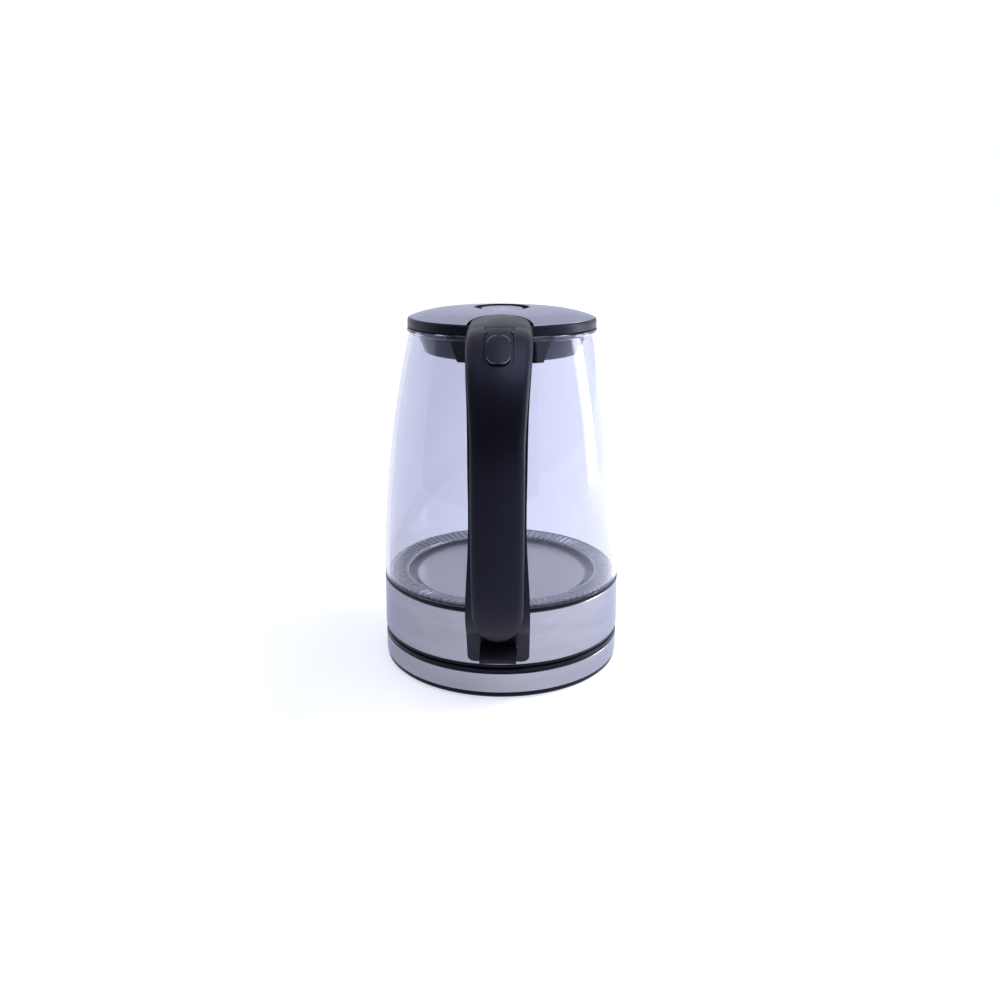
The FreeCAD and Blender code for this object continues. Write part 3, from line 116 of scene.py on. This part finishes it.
class Paint:
    """A node material under construction: a Principled shader and the nodes that feed it."""

    def __init__(self, name, colour, roughness, metallic=0.0):
        self.material = bpy.data.materials.new(name)
        self.material.use_nodes = True
        self.tree = self.material.node_tree
        self.tree.nodes.clear()
        self.shader = self.add("ShaderNodeBsdfPrincipled")
        self.link(self.shader, 0, self.add("ShaderNodeOutputMaterial"), 0)
        self.set("Base Color", (*colour, 1.0))
        self.set("Roughness", roughness)
        self.set("Metallic", metallic)
        self.coordinates = self.add("ShaderNodeTexCoord")

    def add(self, kind, **settings):
        made = self.tree.nodes.new(kind)
        for key, value in settings.items():
            setattr(made, key, value)
        return made

    def link(self, source, output, target, socket):
        self.tree.links.new(source.outputs[output], target.inputs[socket])

    def set(self, socket, value):
        self.shader.inputs[socket].default_value = value

    def noise(self, scale, detail=3.0, stretch=(1, 1, 1), roughness=0.5, at=None):
        """Noise in object space, in cycles per metre, stretched along the axes."""
        mapping = self.add("ShaderNodeMapping")
        mapping.inputs["Scale"].default_value = stretch
        if at is None:
            self.link(self.coordinates, "Object", mapping, "Vector")
        else:
            self.link(at, 0, mapping, "Vector")
        made = self.add("ShaderNodeTexNoise")
        made.inputs["Scale"].default_value = scale
        made.inputs["Detail"].default_value = detail
        made.inputs["Roughness"].default_value = roughness
        self.link(mapping, "Vector", made, "Vector")
        return made

    def polar(self):
        """Object space as (angle, radius, height), so that a grain can run around the axis."""
        split = self.add("ShaderNodeSeparateXYZ")
        self.link(self.coordinates, "Object", split, 0)
        angle = self.add("ShaderNodeMath", operation="ARCTAN2")
        self.link(split, "Y", angle, 0)
        self.link(split, "X", angle, 1)
        flat = self.add("ShaderNodeCombineXYZ")
        self.link(split, "X", flat, 0)
        self.link(split, "Y", flat, 1)
        radius = self.add("ShaderNodeVectorMath", operation="LENGTH")
        self.link(flat, 0, radius, 0)
        joined = self.add("ShaderNodeCombineXYZ")
        self.link(angle, 0, joined, 0)
        self.tree.links.new(radius.outputs["Value"], joined.inputs[1])
        self.link(split, "Z", joined, 2)
        return joined

    def remap(self, source, output, start, end, low=0.0, high=1.0):
        """Map one range of a value onto another, clamped at both ends."""
        made = self.add("ShaderNodeMapRange")
        made.inputs["From Min"].default_value = start
        made.inputs["From Max"].default_value = end
        made.inputs["To Min"].default_value = low
        made.inputs["To Max"].default_value = high
        self.link(source, output, made, 0)
        return made

    def spread(self, source, low, high):
        """Map the busy middle of a 0 to 1 texture onto a range of values."""
        return self.remap(source, 0, 0.3, 0.7, low, high)

    def blend(self, factor, dark, light):
        """Colour the surface between two shades, by a value from 0 to 1."""
        mix = self.add("ShaderNodeMix", data_type="RGBA")
        mix.inputs["A"].default_value = (*dark, 1.0)
        mix.inputs["B"].default_value = (*light, 1.0)
        self.link(factor, 0, mix, "Factor")
        self.tree.links.new(mix.outputs["Result"], self.shader.inputs["Base Color"])

    def vary_roughness(self, source, low, high):
        self.link(self.spread(source, low, high), 0, self.shader, "Roughness")

    def vary_colour(self, source, dark, light):
        self.blend(self.spread(source, 0.0, 1.0), dark, light)

    def bump(self, source, depth, strength):
        """Surface relief from a texture; depth in metres."""
        made = self.add("ShaderNodeBump")
        made.inputs["Strength"].default_value = strength
        made.inputs["Distance"].default_value = depth
        self.link(source, 0, made, "Height")
        self.link(made, 0, self.shader, "Normal")


def shaded(colour, share):
    """The same colour at a share of its brightness."""
    return tuple(c * share for c in colour)


def brushed_around(name, colour, roughness):
    """Steel with its grain running around the kettle's axis."""
    paint = Paint(name, colour, roughness, metallic=1.0)
    polar = paint.polar()
    grain = paint.noise(1.0, 4.0, (9.0, 5200.0, 5200.0), 0.62, at=polar)
    broad = paint.noise(1.0, 2.0, (2.5, 160.0, 160.0), 0.5, at=polar)
    paint.vary_roughness(grain, roughness - 0.06, roughness + 0.06)
    paint.vary_colour(broad, shaded(colour, 0.90), colour)
    paint.bump(grain, 0.012 * MM, 0.55)
    paint.set("Anisotropic", 0.55)
    paint.set("Specular Tint", STEEL_SHEEN)
    return paint.material


def moulding(name, colour, roughness, texture=0.02 * MM, scale=2600.0, shine=DULL):
    """Moulded plastic with a fine spark-eroded texture."""
    paint = Paint(name, colour, roughness)
    fine = paint.noise(scale, 3.0, roughness=0.6)
    broad = paint.noise(60.0, 2.0)
    paint.vary_roughness(broad, roughness - 0.04, roughness + 0.05)
    paint.vary_colour(broad, shaded(colour, 0.9), shaded(colour, 1.08))
    paint.bump(fine, texture, 0.35)
    paint.set("Specular IOR Level", shine)
    paint.set("Specular Tint", COOL_SHEEN)
    return paint.material


def soft_touch(name, colour):
    """Satin soft-touch coating: rough, with a very fine grain."""
    paint = Paint(name, colour, 0.40)
    fine = paint.noise(5200.0, 2.0)
    broad = paint.noise(35.0, 2.0)
    paint.vary_roughness(broad, 0.34, 0.42)
    paint.vary_colour(broad, shaded(colour, 0.92), shaded(colour, 1.06))
    paint.bump(fine, 0.008 * MM, 0.3)
    paint.set("Specular IOR Level", DULL)
    paint.set("Specular Tint", COOL_SHEEN)
    return paint.material


def tinted_glass_painted_light(name, shade, light, ior):
    """Clear tinted glass, painted lighter towards +X where the light falls, with faint upright
    streaks of painted reflection.
    """
    paint = Paint(name, light, 0.0)
    paint.set("Transmission Weight", 1.0)
    paint.set("IOR", ior)
    split = paint.add("ShaderNodeSeparateXYZ")
    paint.link(paint.coordinates, "Object", split, 0)
    # painted light: the glass grows lighter from -X to +X across the jug
    side = paint.remap(split, "X", -JUG_HALF, JUG_HALF)
    # painted reflection: faint upright streaks that shift the shade
    painted_reflection_streaks = paint.noise(1.0, 2.0, (7.0, 1.0, 2.0), 0.5, at=paint.polar())
    painted_reflection_drift = paint.spread(painted_reflection_streaks, -0.14, 0.14)
    painted_light_share = paint.add("ShaderNodeMath", operation="ADD", use_clamp=True)
    paint.link(side, 0, painted_light_share, 0)
    paint.link(painted_reflection_drift, 0, painted_light_share, 1)
    paint.blend(painted_light_share, shade, light)
    paint.set("Specular Tint", GLASS_SHEEN)
    return paint.material


def frosted(name, colour):
    """Milky clear moulding, with painted shade darkening the valleys between its radial ribs."""
    paint = Paint(name, colour, 0.22)
    cloud = paint.noise(180.0, 3.0)
    paint.vary_roughness(cloud, 0.12, 0.26)
    split = paint.add("ShaderNodeSeparateXYZ")
    paint.link(paint.polar(), 0, split, 0)
    # painted shade: the colour darkens once around every rib, in the valleys between the ribs
    turns = paint.add("ShaderNodeMath", operation="MULTIPLY")
    turns.inputs[1].default_value = RIBS
    paint.link(split, "X", turns, 0)
    wave = paint.add("ShaderNodeMath", operation="COSINE")
    paint.link(turns, 0, wave, 0)
    paint.vary_colour(paint.remap(wave, 0, -0.7, 0.5), shaded(colour, VALLEY_SHADE), colour)
    paint.set("Transmission Weight", 0.15)
    paint.set("IOR", 1.60)
    paint.set("Coat Weight", 0.6)
    paint.set("Coat Roughness", 0.06)
    return paint.material


def smoked(name, colour, roughness):
    """Dark plastic with a polished face."""
    paint = Paint(name, colour, roughness)
    cloud = paint.noise(40.0, 2.0)
    paint.vary_roughness(cloud, roughness - 0.03, roughness + 0.05)
    paint.vary_colour(cloud, shaded(colour, 0.85), colour)
    paint.set("Specular IOR Level", 0.35)
    return paint.material


def bright_metal(name, colour, roughness):
    """Bare metal with a cloudy, slightly worn finish."""
    paint = Paint(name, colour, roughness, metallic=1.0)
    cloud = paint.noise(300.0, 3.0)
    paint.vary_roughness(cloud, roughness - 0.05, roughness + 0.08)
    paint.vary_colour(cloud, shaded(colour, 0.85), colour)
    return paint.material


def plate_steel(name, colour, painted_groove_shade):
    """The heating plate: finely brushed in the middle, polished in its sloping edge, where painted
    shade darkens the colour.
    """
    paint = Paint(name, colour, 0.30, metallic=1.0)
    grain = paint.noise(1.0, 3.0, (25.0, 3600.0, 3600.0), 0.6)
    paint.bump(grain, 0.008 * MM, 0.4)
    split = paint.add("ShaderNodeSeparateXYZ")
    paint.link(paint.polar(), 0, split, 0)
    # painted shade: the colour darkens across the sloping edge towards its rim, standing in for the
    # shade in the groove
    ramp = paint.add("ShaderNodeValToRGB")
    paint.link(paint.remap(split, "Y", PLATE_FLAT - MM, PLATE_EDGE), 0, ramp, 0)
    stops = ramp.color_ramp.elements
    stops[0].position = 0.10
    stops[0].color = (*colour, 1.0)
    stops[1].position = 1.0
    stops[1].color = (*painted_groove_shade, 1.0)
    stops.new(0.22).color = (*shaded(colour, 0.55), 1.0)
    stops.new(0.55).color = (*shaded(painted_groove_shade, 1.4), 1.0)
    paint.link(ramp, 0, paint.shader, "Base Color")
    polish = paint.remap(split, "Y", PLATE_FLAT, PLATE_FLAT + MM, 0.34, 0.14)
    paint.link(polish, 0, paint.shader, "Roughness")
    return paint.material


MATERIALS = {
    "black_plastic": moulding("black_plastic", (0.0034, 0.0034, 0.0050), 0.36),
    "gloss_black": moulding("gloss_black", (0.020, 0.020, 0.028), 0.45, 0.006 * MM, shine=0.06),
    "soft_touch": soft_touch("soft_touch", (0.0048, 0.0048, 0.0072)),
    "brushed_steel": brushed_around("brushed_steel", (0.330, 0.332, 0.378), 0.24),
    # painted shade: the second colour darkens the plate's sloping edge
    "plate_steel": plate_steel("plate_steel", (0.68, 0.665, 0.65), (0.035, 0.038, 0.05)),
    "zinc_steel": bright_metal("zinc_steel", (0.55, 0.55, 0.56), 0.30),
    "contact_metal": bright_metal("contact_metal", (0.72, 0.50, 0.25), 0.25),
    "cast_aluminium": bright_metal("cast_aluminium", (0.60, 0.60, 0.62), 0.45),
    "black_rubber": moulding("black_rubber", (0.004, 0.004, 0.006), 0.55, 0.03 * MM, 1400.0),
    "silicone": moulding("silicone", (0.30, 0.31, 0.36), 0.45, scale=900.0),
    "clear_plastic": frosted("clear_plastic", (0.93, 0.94, 0.98)),
    "smoked_plastic": smoked("smoked_plastic", (0.085, 0.09, 0.13), 0.14),
    "circuit_board": moulding("circuit_board", (0.01, 0.09, 0.03), 0.35, scale=900.0),
    # the glass's own tint, painted darker on the -X side and lighter on the +X side where the light
    # falls
    "glass": tinted_glass_painted_light("glass", (0.670, 0.680, 0.750), (0.715, 0.725, 0.795), 1.47),
}

SLOT_OF = {part["node"]: part["material_slot"] for part in frame["record"]["subparts"]}
for node_name, thing in NODES.items():
    thing.data.materials.clear()
    thing.data.materials.append(MATERIALS[SLOT_OF[node_name]])


# ---------------------------------------------------------------- pieces made here

def finished(name, body, slot_name, mesh, smooth=True):
    """Turn a bmesh into an object that rides on a body and takes a slot's material."""
    data = bpy.data.meshes.new(name)
    bmesh.ops.recalc_face_normals(mesh, faces=mesh.faces)
    mesh.to_mesh(data)
    mesh.free()
    for face in data.polygons:
        face.use_smooth = smooth
    thing = bpy.data.objects.new(name, data)
    bpy.context.scene.collection.objects.link(thing)
    data.materials.append(MATERIALS[slot_name])
    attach(thing, body)
    return thing


def light_ring():
    """The clear ring around the heating plate, with radial ribs on top and teeth around its wall."""
    low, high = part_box("light_ring")
    outer = high[0]
    inner = outer - RING_WIDTH
    bottom, crest = low[2], high[2]
    # (radius, height, share of the rib's rise, share of the tooth's depth)
    profile = [
        (inner, bottom, 0, 0),
        (inner, crest - 3.4 * MM, 0, 0),
        (inner, crest - 2.0 * MM, 0, 0),
        (inner + 0.5 * MM, crest - 1.3 * MM, 0, 0),
        (inner + 1.3 * MM, crest - 1.25 * MM, 0, 0),
        (inner + 1.7 * MM, crest - 1.6 * MM, 0.3, 0),
        (inner + 2.4 * MM, crest - 1.6 * MM, 1, 0),
        (outer - 2.6 * MM, crest - 0.9 * MM, 1, 0),
        (outer - 2.0 * MM, crest - 0.7 * MM, 0.2, 0),
        (outer - 1.2 * MM, crest, 0, 0),
        (outer - 0.5 * MM, crest - 0.2 * MM, 0, 0),
        (outer - 0.1 * MM, crest - 0.8 * MM, 0, 1),
        (outer, crest - 1.6 * MM, 0, 1),
        (outer, bottom + 0.8 * MM, 0, 1),
        (outer, bottom, 0, 0),
    ]
    mesh = bmesh.new()
    count = RIBS * len(RIB_SAMPLES)
    rings = []
    for step in range(count):
        angle = 2 * math.pi * step / count
        rise = RIB_SAMPLES[step % len(RIB_SAMPLES)]
        tooth = RIB_SAMPLES[(step * 2) % len(RIB_SAMPLES)]
        ring = []
        for radius, height, rib_share, tooth_share in profile:
            reach = radius - TOOTH_DEPTH * tooth * tooth_share
            up = height + RIB_RISE * rise * rib_share
            ring.append(mesh.verts.new((reach * math.cos(angle), reach * math.sin(angle), up)))
        rings.append(ring)
    for step, ring in enumerate(rings):
        after = rings[(step + 1) % count]
        for k in range(len(profile)):
            n = (k + 1) % len(profile)
            mesh.faces.new((ring[k], after[k], after[n], ring[n]))
    ring = finished("light_ring_ribbed", "kettle", "clear_plastic", mesh, smooth=False)
    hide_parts("light_ring")


def drawn_on(node_name, paths, width):
    """Raised lines through runs of (x, z) points, laid on the front of a node."""
    tree = BVHTree.FromObject(NODES[node_name], bpy.context.evaluated_depsgraph_get())
    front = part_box(node_name)[0][1] - 50 * MM
    mesh = bmesh.new()

    def laid(x, z):
        spot, normal, _, _ = tree.ray_cast(Vector((x, front, z)), Vector((0, 1, 0)))
        return spot + normal * LINE_LIFT if normal.y < 0 else spot - normal * LINE_LIFT

    for points in paths:
        before = None
        for i, (x, z) in enumerate(points):
            ahead = points[min(i + 1, len(points) - 1)]
            behind = points[max(i - 1, 0)]
            way = Vector((ahead[0] - behind[0], ahead[1] - behind[1])).normalized()
            side = Vector((-way.y, way.x)) * width / 2
            pair = [mesh.verts.new(laid(x + side.x * way_out, z + side.y * way_out))
                    for way_out in (-1, 1)]
            if before:
                mesh.faces.new((before[0], pair[0], pair[1], before[1]))
            before = pair
    return mesh


def run(start, end, steps=6):
    """Points along a straight line, both ends included."""
    return [(start[0] + (end[0] - start[0]) * t / steps, start[1] + (end[1] - start[1]) * t / steps)
            for t in range(steps + 1)]


def bend(centre, radius, first, last, steps=8):
    """Points along an arc, angles in quarter turns."""
    angles = [math.pi / 2 * (first + (last - first) * t / steps) for t in range(steps + 1)]
    return [(centre[0] + radius * math.cos(a), centre[1] + radius * math.sin(a)) for a in angles]


def lock_icon():
    """A small padlock outline on the grip below the release button."""
    half = ICON_WIDTH / 2
    base, top = ICON_Z - 2.2 * MM, ICON_Z + 0.3 * MM
    bow = half * 0.68
    paths = [
        run((-half, base), (half, base)),
        run((half, base), (half, top)),
        run((half, top), (-half, top)),
        run((-half, top), (-half, base)),
        [(bow, top)] + bend((0, top + 0.5 * MM), bow, 0, 2) + [(-bow, top)],
    ]
    finished("lock_icon", "kettle", "gloss_black", drawn_on("handle_grip", paths, ICON_LINE))


def painted_bevel_highlight():
    """A painted highlight: a lighter polished line around the edge of the release button, where its
    bevel catches the light.
    """
    low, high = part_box("lid_release_button")
    side = high[0] - BEVEL_INSET
    foot, head = low[2] + BEVEL_FOOT, high[2] - BEVEL_HEAD
    inner = side - BEVEL_CORNER
    path = []
    for x, z, first in ((inner, head - BEVEL_CORNER, 0), (-inner, head - BEVEL_CORNER, 1),
                        (-inner, foot + BEVEL_CORNER, 2), (inner, foot + BEVEL_CORNER, 3)):
        path += bend((x, z), BEVEL_CORNER, first, first + 1)
    path += run(path[-1], path[0], 10)[1:]
    painted_highlight_line = drawn_on("lid_release_button", [path], BEVEL_LINE)
    # painted highlight: the lighter smoked plastic stands in for the light on the button's bevel
    finished("painted_bevel_highlight", "release_button", "smoked_plastic", painted_highlight_line)


# ---------------------------------------------------------------- stage, light and camera

def card(name, width, depth, centre, aim, strength):
    """A soft rectangular studio light that looks at a point."""
    light = bpy.data.lights.new(name, "AREA")
    light.shape = "RECTANGLE"
    light.size = width
    light.size_y = depth
    light.energy = strength
    light.color = SKY
    thing = bpy.data.objects.new(name, light)
    thing.location = centre
    thing.rotation_euler = (Vector(aim) - Vector(centre)).to_track_quat("-Z", "Y").to_euler()
    bpy.context.scene.collection.objects.link(thing)


def panel(name, width, depth, centre, aim, colour):
    """A matt panel: the floor, or a screen that keeps light away from one side."""
    mesh = bmesh.new()
    bmesh.ops.create_grid(mesh, x_segments=2, y_segments=2, size=0.5)
    bmesh.ops.scale(mesh, vec=(width, depth, 1), verts=mesh.verts)
    data = bpy.data.meshes.new(name)
    mesh.to_mesh(data)
    mesh.free()
    thing = bpy.data.objects.new(name, data)
    thing.location = centre
    thing.rotation_euler = (Vector(aim) - Vector(centre)).to_track_quat("Z", "Y").to_euler()
    bpy.context.scene.collection.objects.link(thing)
    cloth = Paint(name + "_cloth", colour, 0.9)
    cloth.vary_roughness(cloth.noise(3.0), 0.85, 0.95)
    cloth.set("Specular IOR Level", 0.0)
    data.materials.append(cloth.material)
    thing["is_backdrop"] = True
    return thing


def light_from_below(tree):
    """Make the floor a light table that is brighter towards +X."""
    place = tree.nodes.new("ShaderNodeNewGeometry")
    split = tree.nodes.new("ShaderNodeSeparateXYZ")
    tree.links.new(place.outputs["Position"], split.inputs[0])
    glow = tree.nodes.new("ShaderNodeMapRange")
    glow.inputs["From Min"].default_value = FLOOR_DIM[0]
    glow.inputs["From Max"].default_value = FLOOR_BRIGHT[0]
    glow.inputs["To Min"].default_value = FLOOR_DIM[1]
    glow.inputs["To Max"].default_value = FLOOR_BRIGHT[1]
    tree.links.new(split.outputs["X"], glow.inputs[0])
    shader = tree.nodes["Principled BSDF"]
    shader.inputs["Emission Color"].default_value = (*SKY, 1)
    tree.links.new(glow.outputs[0], shader.inputs["Emission Strength"])


def studio():
    """A pale light table under a plain bright sky, with two screens and two soft lights."""
    low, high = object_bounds()
    middle = (0.0, 0.0, (low[2] + high[2]) / 2)
    floor = panel("floor", FLOOR_WIDTH, FLOOR_WIDTH, (0, 0, 0), (0, 0, 1), (0.55, 0.55, 0.55))
    light_from_below(floor.data.materials[0].node_tree)

    world = bpy.data.worlds.new("studio")
    world.use_nodes = True
    back = world.node_tree.nodes["Background"]
    back.inputs["Color"].default_value = (*SKY, 1.0)
    back.inputs["Strength"].default_value = 1.0
    bpy.context.scene.world = world

    panel("front_flag", 2.6, 1.8, (-0.1, -1.25, 0.55), middle, (0.04, 0.04, 0.05))
    panel("left_flag", 1.1, 1.2, (-0.85, -0.55, 0.45), middle, (0.20, 0.20, 0.23))
    card("top_soft", 0.50, 0.5, (0.22, -0.20, 0.95), (0, -0.08, 0.20), 3.0)
    card("edge_right", 0.25, 0.8, (0.90, 0.20, 0.35), middle, 5.0)


def camera():
    """Look down on the handle's side of the kettle."""
    lens = bpy.data.cameras.new("camera")
    lens.sensor_width = 36.0
    lens.lens = CAMERA_LENS
    lens.shift_x = CAMERA_SHIFT_X
    lens.clip_start = 0.01
    thing = bpy.data.objects.new("camera", lens)
    orbit = Matrix.Rotation(math.radians(CAMERA_ORBIT), 4, "Z")
    thing.location = orbit @ Vector((0.0, -CAMERA_REACH, CAMERA_HEIGHT))
    tilt = Matrix.Rotation(math.radians(CAMERA_TILT), 4, "X")
    roll = Matrix.Rotation(math.radians(CAMERA_ROLL), 4, "Z")
    thing.rotation_euler = (orbit @ tilt @ roll).to_euler()
    bpy.context.scene.collection.objects.link(thing)
    bpy.context.scene.camera = thing
    bpy.context.scene.view_settings.view_transform = "Standard"


light_ring()
lock_icon()
painted_bevel_highlight()
studio()
camera()
